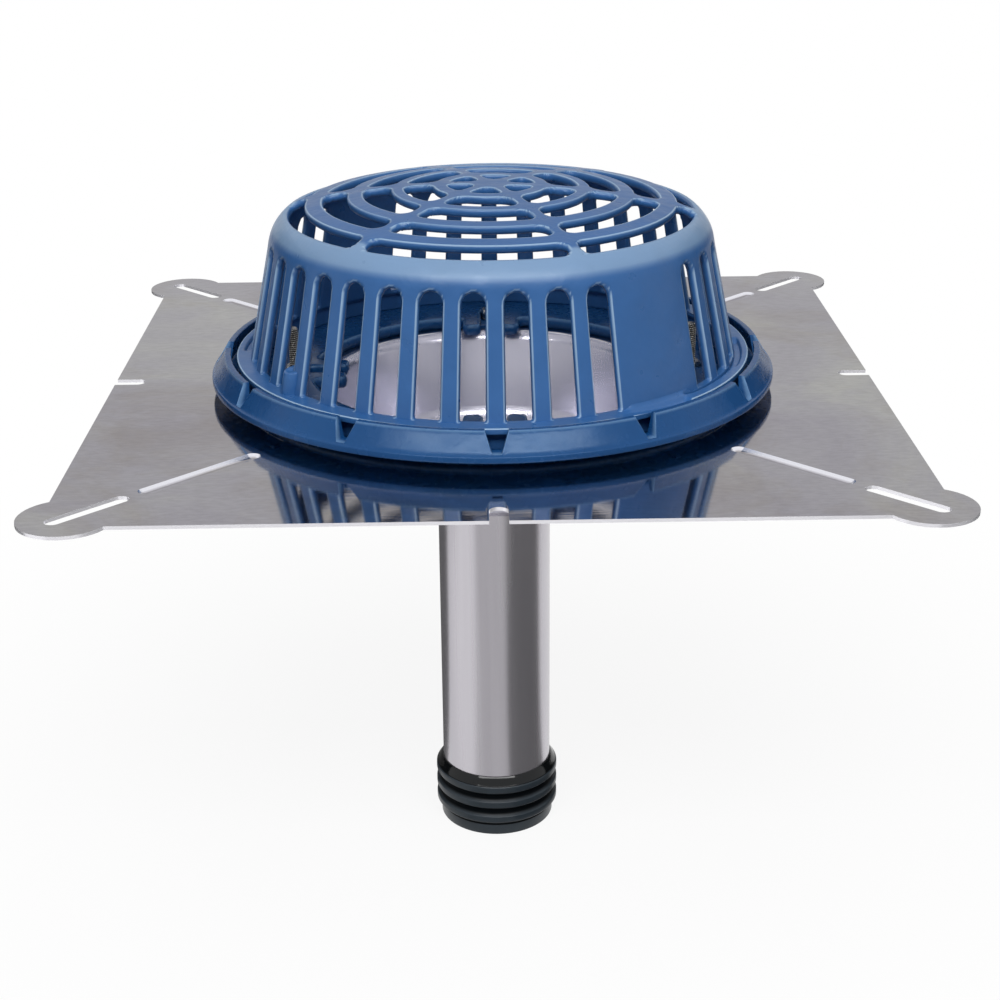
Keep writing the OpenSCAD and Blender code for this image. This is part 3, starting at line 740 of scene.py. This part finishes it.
def make_bosses():
    """Half-round bosses at the wall's foot: a superellipse dome swept from a circle, leaning
    with the wall. Point = (x + R c(v) cos u, R c(v) sin u, z(v))."""
    bosses = []
    radius, height, shoulder = 5.65 * MM, 14.3 * MM, 1.3 * MM
    v = np.linspace(0, np.pi / 2, 8)
    scale = np.concatenate([[1, 1, 1], (radius - shoulder * (1 - np.cos(v))) / radius,
                            [0.25, 0.02]])
    level = np.concatenate([[-1 * MM, 4 * MM, 8 * MM], height - shoulder + shoulder * np.sin(v),
                            [height + 0.1 * MM, height + 0.12 * MM]])
    u = np.linspace(0, 2 * np.pi, 40, endpoint=False)
    for k, at in enumerate((-52.5, 127.5)):
        lean = level[:, None] * math.tan(DOME_LEAN)
        slope = np.maximum(level - 8 * MM, 0)[:, None] * 0.35
        x = DOME_FOOT_R - 1.2 * MM + radius * scale[:, None] * np.cos(u) - lean
        z = DOME_FOOT_Z + level[:, None] - slope * (1 + np.cos(u)[None, :]) / 2
        y = radius * scale[:, None] * np.sin(u)
        points = np.stack([x, y, z], axis=-1)
        boss = new_piece(f"boss_{k}", points, capped(len(level), len(u)), crease=50)
        bosses.append(placed(boss, math.radians(at - 90)))
    return joined("dome_bosses", bosses)


for part in (make_dome_shell(), make_dome_flange(), make_dome_skirt(), make_tabs(),
             make_bosses()):
    finish(part, "dome", DOME_PAINT, "dome_coating", "dome_strainer")


# ------------------------------------------------------------------------------ clamp ring

def lug_metal(x, y):
    """Distance to the edge of the clamping flange and its four stud lugs, positive in the
    metal: a ring joined to prongs, which are boxes with rounded corners, by a smooth union,
    less the nut pockets."""
    ring = np.hypot(x, y) - RING_INNER_R
    local = nearest(np.arctan2(y, x), 0, np.pi / 2)
    r = np.hypot(x, y)
    u, v = r * np.cos(local), np.abs(r * np.sin(local))
    side = (POCKET_W + PRONG_W) / 2
    root = 125 * MM
    corner = 4 * MM
    along = np.abs(u - (PRONG_TIP_R + root) / 2) - (root - PRONG_TIP_R) / 2
    prong = -rounded_gap(along, np.abs(v - side) - PRONG_W / 2, corner)
    prong = np.where(u > 100 * MM, np.maximum(prong, side - v), prong)
    soft = 8 * MM
    mix = np.clip(0.5 + 0.5 * (prong - ring) / soft, 0, 1)
    metal = prong * mix + ring * (1 - mix) + soft * mix * (1 - mix)
    end = STUD_CIRCLE_R + 1 * MM
    pocket = np.hypot(np.maximum(u - end, 0), v) - POCKET_W / 2
    return np.minimum(metal, pocket)


def make_ring_flange():
    """The flat clamping flange with its stud lugs, a plate cut where lug_metal is zero."""
    radii = np.arange(84.0, 153.6, 1.35) * MM
    angle = np.radians(np.arange(0, 360, 0.6))
    flat = bearing(angle)
    x, y = radii[:, None] * flat[None, :, 0], radii[:, None] * flat[None, :, 1]
    metal = lug_metal(x, y)
    metal[-1, :] = -0.2 * MM
    z = np.full_like(x, (SHEET + RING_TOP_Z) / 2)
    middle = np.stack([x, y, z], axis=-1)[::-1]
    normals = np.zeros_like(middle)
    normals[..., 2] = 1
    shell = pierced_shell("ring_flange", middle, normals, metal[::-1],
                          RING_TOP_Z - SHEET - 0.02 * MM, 1.6 * MM)
    return merged(shell)


def make_gravel_stop():
    """The ring's outer part: lip, gravel stop and the slope down to the flange, as a closed
    profile turned about Z. In a notch every height z above the foot becomes
    foot + (z - foot) g, where g grows straight from the half width at the notch's foot to the
    half width at its top. The radius is the wall's own at that height, and the columns of
    points run parallel to the notch's middle line, as a cutter leaves them."""
    out_r, in_r = RING_R - 0.8 * MM, RING_R - 9.8 * MM
    lip, ease, top = 0.9 * MM, 0.6 * MM, STOP_TOP_Z
    cap_in = STOP_R - STOP_TOP_W
    foot = LIP_TOP_Z + 0.2 * MM
    outer = np.linspace([out_r - 0.6 * MM, foot + 0.2 * MM], [STOP_R, top - ease], 7)
    cap = np.concatenate([arc_points((STOP_R - ease, top - ease), ease, 20, 90, 4),
                          arc_points((cap_in + ease, top - ease), ease, 90, 160, 4)])
    inner = np.linspace([cap_in, top - ease], [in_r + 0.1 * MM, foot + 0.2 * MM], 5)
    below = np.concatenate([
        [[in_r - 0.4 * MM, LIP_TOP_Z + 0.1 * MM], [in_r - 2.3 * MM, RING_TOP_Z + 1.5 * MM],
         [in_r - 4.6 * MM, RING_TOP_Z + 0.2 * MM], [153.4 * MM, RING_TOP_Z - 0.02 * MM],
         [152.6 * MM, SHEET + 5.0 * MM], [157.0 * MM, LIP_UNDER_Z]],
        arc_points((RING_R - lip, LIP_UNDER_Z + lip), lip, 270, 360, 5),
        arc_points((RING_R - lip, LIP_TOP_Z - lip - 0.2 * MM), lip, 0, 80, 5),
        [[out_r - 0.2 * MM, LIP_TOP_Z + 0.1 * MM]]])
    profile = np.concatenate([outer, cap, inner, below])
    r, z = profile[:, 0:1], profile[:, 1:2]

    def wall_r(line, level):
        """The radius of a wall's line at a height."""
        line = line[np.argsort(line[:, 1])]
        return np.interp(level, line[:, 1], line[:, 0])

    across = (wall_r(outer, z) - r) / (wall_r(outer, z) - wall_r(inner, z))
    off = np.array([-6.7, -6.4, -6.1, -5.2, -4.2, -3.2, -2.6, -2.45, 0,
                    2.45, 2.6, 3.2, 4.2, 5.2, 6.1, 6.4, 6.7]) * MM
    plain = np.radians([4.5, 7.5, 11, 15, 19, 22.5, 25.5])
    grow = np.clip((np.abs(off) - NOTCH_FOOT) / NOTCH_GROW, 0.03, 1)
    lowered = np.where(z > foot, foot + (z - foot) * grow, z)
    cut_r = np.where(z > foot, wall_r(outer, lowered) * (1 - across)
                     + wall_r(inner, lowered) * across, r)
    angle = np.concatenate([np.arcsin(off / cut_r), np.tile(plain, (len(r), 1))], axis=1)
    radius = np.concatenate([cut_r, np.repeat(r, len(plain), axis=1)], axis=1)
    height = np.concatenate([lowered, np.repeat(z, len(plain), axis=1)], axis=1)
    turn = np.arange(NOTCHES)[None, :, None] * 2 * np.pi / NOTCHES
    a = (turn + angle[:, None, :]).reshape(len(profile), -1)
    radius, height = np.tile(radius, NOTCHES), np.tile(height, NOTCHES)
    stop = new_piece("gravel_stop", around(radius, a, height),
                     [grid_faces(*a.shape, wrap_rows=True)], crease=40)
    # Painted highlight on the gravel stop: the cap's outer edge all round, and the cap's top
    # where it dips into each notch, are painted paler, partly standing for paint thinned on these
    # sharp edges.
    tone_marks = np.zeros((len(profile), len(off) + len(plain)))
    tone_marks[len(outer) - 1:len(outer) + 2] = 0.8
    tone_marks[len(outer):len(outer) + len(cap) // 2, 1:len(off) - 1] = 1.0
    mark_rim(stop, np.tile(tone_marks, NOTCHES))
    return stop


def make_hooks():
    """The four hidden hooks inside the gravel stop, each with the rib that stops a tab."""
    hooks = []
    for k in range(HOOKS):
        outline = arc_outline(149.3 * MM, HOOK_R, math.radians(6.3))
        hook = slab(f"hook_{k}", outline, SHEET + 13.9 * MM, SHEET + 17.3 * MM, 0.7 * MM)
        hook = placed(hook, math.radians(-0.8))
        rib = slab(f"rib_{k}", arc_outline(149.6 * MM, HOOK_R, math.radians(0.75), 4),
                   RING_TOP_Z - 1 * MM, SHEET + 14.9 * MM, 0.5 * MM)
        rib = placed(rib, math.radians(-6.25))
        pair = joined(f"hook_{k}", [hook, rib])
        hooks.append(placed(pair, math.radians(HOOK_AT + 90 * k)))
    return joined("ring_hooks", hooks)


def make_pocket_floors():
    """The thin web under each nut: a tongue from the ring to between the prongs."""
    floors = []
    side = (POCKET_W + PRONG_W) / 2
    for k in range(STUDS):
        end = arc_points((STUD_CIRCLE_R + 1 * MM, 0), side - 1 * MM, -90, 90, 14)
        outline = np.concatenate([[[103.6 * MM, side - 1 * MM], [103.6 * MM, -side + 1 * MM]],
                                  end])
        floor = slab(f"floor_{k}", outline, SHEET, SHEET + POCKET_FLOOR, 0.4 * MM)
        floors.append(placed(floor, TURN * k))
    return joined("nut_pocket_floors", floors)


for part in (make_ring_flange(), make_gravel_stop(), make_hooks(), make_pocket_floors()):
    finish(part, "drain", RING_PAINT, "ring_coating", "clamp_ring")


# ------------------------------------------------------------------------------- fasteners

def make_studs():
    """Threaded studs: radius = R - depth * triangle(height / pitch - angle / turn), with the
    last turn tapering into the tip's chamfer."""
    studs = []
    radius, pitch, depth, height = 3.175 * MM, 1.27 * MM, 0.62 * MM, 33.0 * MM
    turn = np.linspace(0, 2 * np.pi, 28, endpoint=False)
    level = np.concatenate([[0], np.linspace(0.8 * MM, height, 200)])
    phase = (level[:, None] / pitch - turn[None, :] / (2 * np.pi)) % 1
    groove = 1 - np.abs(2 * phase - 1)
    fade = np.clip((level[:, None] - 1.0 * MM) / (1.0 * MM), 0, 1)
    tip = np.clip((level[:, None] - (height - 0.8 * MM)) / (0.8 * MM), 0, 1)
    r = radius - depth * np.clip(groove * 1.2 - 0.1, 0, 1) * fade
    r = np.minimum(r, radius - 0.9 * MM * tip)
    points = around(r, turn, np.repeat(SHEET + level[:, None], len(turn), axis=1))
    faces = capped(len(level), len(turn))
    for k in range(STUDS):
        stud = new_piece(f"stud_{k}", points, faces, crease=35)
        # The rim value marks the thread's roots, where the material paints shade.
        mark_rim(stud, np.clip((radius - r) / depth, 0, 1) * fade * (1 - tip))
        studs.append(placed(stud, TURN * k, (STUD_CIRCLE_R, 0, 0)))
    return joined("threaded_studs", studs)


def split_ring(name, profile, segments, gap, rise):
    """A closed profile of (radius, height) turned about Z. gap is the angle left open, and rise
    lifts one end over the other, as in a split washer."""
    profile = np.asarray(profile, float)
    a = np.linspace(gap / 2, 2 * np.pi - gap / 2, segments)
    r = profile[:, 0:1]
    lift = rise * (a / (2 * np.pi))[None, :]
    points = around(r, a, profile[:, 1:2] + lift)
    rows = np.arange(len(profile)) * len(a)
    faces = [grid_faces(len(profile), len(a), wrap_rows=True, wrap_cols=False),
             [rows[::-1].tolist()], [(rows + len(a) - 1).tolist()]]
    return merged(new_piece(name, points, faces, crease=35))


def make_washers():
    """Split lock washers, each with its gap at another bearing."""
    base = SHEET + POCKET_FLOOR
    inner, outer, thick, ease = 3.35 * MM, 6.1 * MM, 1.35 * MM, 0.2 * MM
    profile = [[inner, base + ease], [inner + ease, base], [outer - ease, base],
               [outer, base + ease], [outer, base + thick - ease], [outer - ease, base + thick],
               [inner + ease, base + thick], [inner, base + thick - ease]]
    washers = [placed(split_ring(f"washer_{k}", profile, 48, 0.12, 0.12 * MM), 0.7 + 0.9 * k)
               for k in range(STUDS)]
    for k, washer in enumerate(washers):
        at = TURN * k
        centre = STUD_CIRCLE_R * Vector((math.cos(at), math.sin(at), 0))
        washer.data.transform(Matrix.Translation(centre))
    return joined("lock_washers", washers)


def make_nuts():
    """Hexagon nuts: the radius at each angle is the hexagon's, limited near the ends by the
    chamfer's cone; the bore is plain with countersunk mouths."""
    base = SHEET + 3.7 * MM
    flats = 11.1 * MM / 2
    a = np.linspace(0, 2 * np.pi, 72, endpoint=False)
    hexagon = flats / np.cos(nearest(a, 0, np.pi / 3))
    bore = 3.18 * MM
    rows = []
    for z, limit in ((0, 1.0), (0.25, 1.07), (0.7, 1.16), (2.78, 1.2), (4.86, 1.16), (5.31, 1.07),
                     (5.56, 1.0)):
        rows.append((np.minimum(hexagon, flats * limit), z * MM))
    for z, r in ((5.56, 3.7), (5.1, 3.2), (0.46, 3.2), (0.0, 3.7)):
        rows.append((np.full(len(a), max(r * MM, bore)), z * MM))
    r = np.stack([row[0] for row in rows])
    z = np.repeat(np.array([row[1] for row in rows])[:, None] + base, len(a), axis=1)
    points = around(r, a, z)
    nuts = []
    for k in range(STUDS):
        nut = new_piece(f"nut_{k}", points, [grid_faces(len(rows), len(a), wrap_rows=True)],
                        crease=30)
        nut.data.transform(Matrix.Rotation(0.25 + 0.5 * k, 4, "Z"))
        nuts.append(placed(nut, TURN * k, (STUD_CIRCLE_R, 0, 0)))
    return joined("hex_nuts", nuts)


finish(make_studs(), "drain", STUD_STEEL, "stainless", "clamp_studs")
finish(make_washers(), "drain", NUT_STEEL, "stainless", "washers")
finish(make_nuts(), "drain", NUT_STEEL, "stainless", "clamp_nuts")


# --------------------------------------------------------------------------------- the seal

def make_seal():
    """The pipe seal: a moulded profile turned about Z, its neck, fins and collar all eased."""
    bottom, top = SEAL_FOOT_Z, -256.5 * MM
    tube = 34.95 * MM
    fin = 39.5 * MM
    profile = [[33.6 * MM, bottom + 0.5 * MM], [34.1 * MM, bottom]]
    profile += arc_points((35.6 * MM, bottom + 0.9 * MM), 0.9 * MM, 270, 350, 4).tolist()
    first = top - 5.5 * MM
    lows = [first - i * 10.7 * MM for i in (2, 1, 0)]
    profile += [[36.4 * MM, lows[0] - 8.3 * MM], [36.4 * MM, lows[0] - 7.7 * MM],
                [36.4 * MM, lows[0] - 6.9 * MM]]
    for i, z in enumerate(lows):
        ease = 0.9 * MM
        low = z - 4.8 * MM
        profile += [[37.2 * MM, low - 1.6 * MM]]
        profile += arc_points((fin - ease, low + ease), ease, -60, 0, 4).tolist()
        profile += arc_points((fin - ease, z - ease), ease, 0, 60, 4).tolist()
        if i < 2:
            profile += [[37.25 * MM, z + 1.4 * MM], [37.1 * MM, z + 2.5 * MM],
                        [37.1 * MM, z + 3.4 * MM]]
    profile += [[38.6 * MM, first + 0.5 * MM], [37.6 * MM, first + 2.0 * MM],
                [36.6 * MM, first + 4.0 * MM], [35.9 * MM, top - 0.5 * MM], [35.5 * MM, top],
                [tube + 0.1 * MM, top], [tube, top - 0.4 * MM], [tube, -283.4 * MM],
                [tube, -294.9 * MM], [33.6 * MM, -294.9 * MM]]
    seal = revolved("seal_body", profile, 192, crease=50)
    r, z = np.asarray(profile).T
    # The grooves between the fins take a half, which the rubber paints as shade.
    groove = (r < 38.2 * MM) & (z > lows[0] - 8.0 * MM) & (z < first)
    zone = np.where(z > first + 0.2 * MM, 1.0, np.where(groove, 0.5, 0.0))
    mark_rim(seal, np.repeat(zone, 192))
    return seal


finish(make_seal(), "drain", RUBBER, "seal_rubber", "pipe_seal")


# ------------------------------------------------------------------- floor, light and camera

def bright_rays(tree):
    """1 for the rays that should see a white studio: camera, glossy and transmission rays."""
    path = tree.nodes.new("ShaderNodeLightPath")
    first = add(tree, "ShaderNodeMath", operation="MAXIMUM")
    second = add(tree, "ShaderNodeMath", operation="MAXIMUM")
    tree.links.new(path.outputs["Is Camera Ray"], first.inputs[0])
    tree.links.new(path.outputs["Is Glossy Ray"], first.inputs[1])
    tree.links.new(first.outputs[0], second.inputs[0])
    tree.links.new(path.outputs["Is Transmission Ray"], second.inputs[1])
    return second.outputs[0]


def flat_sheet(name, corners, z):
    """A level sheet of the studio with the given corners."""
    mesh = bpy.data.meshes.new(name)
    mesh.from_pydata([(x, y, z) for x, y in corners], [], [tuple(range(len(corners)))])
    sheet = linked(name, mesh)
    return sheet


def make_floor():
    """A pale floor. Rays that see the studio find it white, with the object's shadow kept
    round the foot and fading out with distance; other rays find a grey that throws little
    light up under the object."""
    floor = flat_sheet("floor", [(-30, -30), (30, -30), (30, 30), (-30, 30)], FLOOR_Z)
    made, tree = material("pale_floor", grey(0.90), roughness=0.9, specular=0.0)
    dull = add(tree, "ShaderNodeBsdfDiffuse", Color=(0.35, 0.35, 0.35, 1))
    white = add(tree, "ShaderNodeEmission", Color=(1, 1, 1, 1), Strength=1.0)
    near = inside_radius(tree, object_coordinates(tree), 0.15, 0.75)
    share = remap(tree, near, 0.0, 1.0, 1.0, 0.90, "LINEAR")
    seen = tree.nodes.new("ShaderNodeMixShader")
    tree.links.new(share, seen.inputs["Fac"])
    tree.links.new(tree.nodes[SHADER].outputs[0], seen.inputs[1])
    tree.links.new(white.outputs[0], seen.inputs[2])
    last = tree.nodes.new("ShaderNodeMixShader")
    tree.links.new(bright_rays(tree), last.inputs["Fac"])
    tree.links.new(dull.outputs[0], last.inputs[1])
    tree.links.new(seen.outputs[0], last.inputs[2])
    tree.links.new(last.outputs[0], tree.nodes["Material Output"].inputs["Surface"])
    floor.data.materials.append(made)


def reflected_only(card, level):
    """Makes a sheet glow at a level that only reflections show, like a studio flag."""
    card.visible_camera = card.visible_diffuse = card.visible_shadow = False
    card.visible_transmission = card.visible_volume_scatter = False
    made = bpy.data.materials.new(card.name + "_grey")
    made.use_nodes = True
    tree = made.node_tree
    glow = add(tree, "ShaderNodeEmission", Color=(level, level, level, 1), Strength=1.0)
    tree.links.new(glow.outputs[0], tree.nodes["Material Output"].inputs["Surface"])
    card.data.materials.append(made)


def make_card(name, start, end, inner, outer, level, lift):
    """A flag just above the floor, between two bearings and two radii: these give the satin
    tube its bands and keep the painted sides dark."""
    t = np.radians(np.linspace(start, end, 24))
    out, back = outer * bearing(t), inner * bearing(t[::-1])
    card = flat_sheet(name, np.concatenate([out, back]).tolist(), FLOOR_Z + lift)
    reflected_only(card, level)


def make_back_card(level):
    """A grey flag standing behind the object, which the sheet's top mirrors."""
    card = flat_sheet("card_back", [(-1.4, 0.1), (1.4, 0.1), (1.4, 2.6), (-1.4, 2.6)], 0)
    card.data.transform(Matrix.Translation((0, BACK_CARD_Y, 0)) @ Matrix.Rotation(TURN, 4, "X"))
    reflected_only(card, level)


def make_side_card(name, x, level):
    """A dark flag standing beside and behind the object."""
    card = flat_sheet(name, [(0.55, -0.28), (4.0, -0.28), (4.0, 1.2), (0.55, 1.2)], 0)
    card.data.transform(Matrix.Translation((x, 0, 0)) @ Matrix.Rotation(TURN, 4, "Z")
                        @ Matrix.Rotation(TURN, 4, "X"))
    reflected_only(card, level)


def make_world():
    """White for camera, glossy and transmission rays; a plain level of light for the rest."""
    world = bpy.data.worlds.new("studio")
    bpy.context.scene.world = world
    world.use_nodes = True
    tree = world.node_tree
    background = tree.nodes["Background"]
    background.inputs["Color"].default_value = (1, 1, 1, 1)
    level = remap(tree, bright_rays(tree), 0.0, 1.0, 0.22, 1.0, "LINEAR")
    tree.links.new(level, background.inputs["Strength"])


def area_light(name, place, target, size, energy, size_y=None):
    """A rectangular lamp at a place, turned to face a target."""
    data = bpy.data.lights.new(name, "AREA")
    data.shape = "RECTANGLE"
    data.size, data.size_y = size, size_y or size
    data.energy = energy
    lamp = linked(name, data)
    lamp.location = place
    lamp.rotation_euler = (Vector(target) - Vector(place)).to_track_quat("-Z", "Y").to_euler()
    return lamp


def make_camera():
    """The viewing angle: about 22 degrees down from just left of the front."""
    place = Vector((-0.0117, -1.0720, 0.3507))
    pitch, yaw, roll = 0.3809, 0.0144, -0.0088
    ahead = Vector((math.sin(yaw), math.cos(yaw), 0))
    right = Vector((math.cos(yaw), -math.sin(yaw), 0))
    up = Vector((0, 0, 1))
    view = ahead * math.cos(pitch) - up * math.sin(pitch)
    top = up * math.cos(pitch) + ahead * math.sin(pitch)
    across = right * math.cos(roll) + top * math.sin(roll)
    top = top * math.cos(roll) - right * math.sin(roll)
    data = bpy.data.cameras.new("camera")
    data.lens, data.sensor_width = 66.52, 36.0
    camera = linked("camera", data)
    turn = Matrix((across, top, -view)).transposed().to_4x4()
    camera.matrix_world = Matrix.Translation(place) @ turn
    bpy.context.scene.camera = camera


make_floor()
for card in FLOOR_CARDS:
    make_card(*card)
make_back_card(BACK_CARD_LEVEL)
make_side_card("card_side_left", -SIDE_CARD_X, SIDE_CARD_LEVEL)
make_side_card("card_side_right", SIDE_CARD_X, SIDE_CARD_LEVEL)
make_world()
area_light("front_strip", (0.0, -1.50, 1.42), LAMP_TARGET, 2.6, 39, 0.5)
area_light("top", (0.0, -0.7, 2.0), LAMP_TARGET, 1.6, 14).visible_glossy = False
make_camera()
bpy.context.scene.view_settings.view_transform = "Standard"
